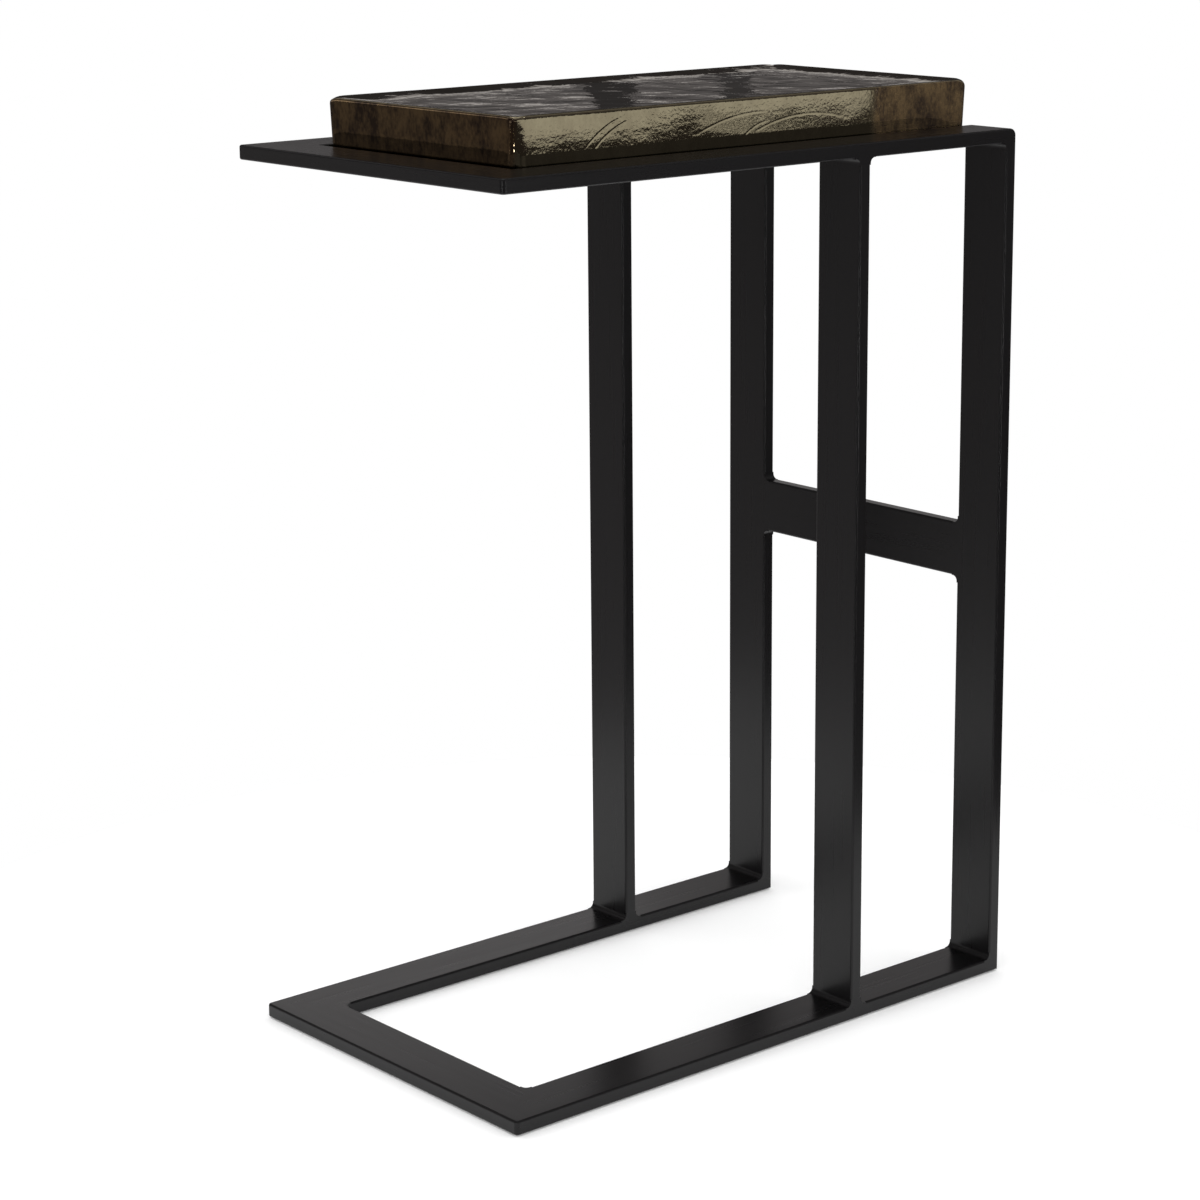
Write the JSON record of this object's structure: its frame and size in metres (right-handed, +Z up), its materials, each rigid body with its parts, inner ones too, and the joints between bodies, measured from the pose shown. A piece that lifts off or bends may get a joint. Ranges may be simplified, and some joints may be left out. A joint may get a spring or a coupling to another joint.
{
  "type": "c shaped side table",
  "caption": "C shaped side table: a black welded flat-bar frame, open at the front to slide over a seat, with a thick bronze cast-glass slab set into its top.",
  "frame": {"origin": "on the floor, under the middle of the frame", "axes": "+Z up, +X to the table's right, -Y towards the open end of the C"},
  "size_m": [0.286, 0.462, 0.6595],
  "materials": {
    "frame_paint": "satin black powder coat",
    "cast_glass": "polished cast glass, bronze",
    "floor_pad": "matt",
    "bumper": "clear, satin"
  },
  "bodies": {
    "root": {"base_front_bar": "frame_paint", "top_front_bar": "frame_paint", "rear_crossbar": "frame_paint", "top_rear_bar": "frame_paint", "slab_support_sheet": "frame_paint", "base_left_rail": "frame_paint", "base_right_rail": "frame_paint", "top_left_rail": "frame_paint", "top_right_rail": "frame_paint", "front_left_upright": "frame_paint", "front_right_upright": "frame_paint", "rear_left_upright": "frame_paint", "rear_right_upright": "frame_paint", "front_left_foot_weld": "frame_paint", "front_left_head_weld": "frame_paint", "front_right_foot_weld": "frame_paint", "front_right_head_weld": "frame_paint", "rear_left_foot_weld": "frame_paint", "rear_left_head_weld": "frame_paint", "rear_right_foot_weld": "frame_paint", "rear_right_head_weld": "frame_paint", "crossbar_left_weld": "frame_paint", "crossbar_right_weld": "frame_paint", "base_left_corner_weld": "frame_paint", "base_right_corner_weld": "frame_paint", "floor_pad_front_left": "floor_pad", "floor_pad_front_right": "floor_pad", "floor_pad_rear_left": "floor_pad", "floor_pad_rear_right": "floor_pad", "slab_bumper_front_left": "bumper", "slab_bumper_front_right": "bumper", "slab_bumper_rear_left": "bumper", "slab_bumper_rear_right": "bumper", "glass_slab": "cast_glass"}
  },
  "joints": []
}
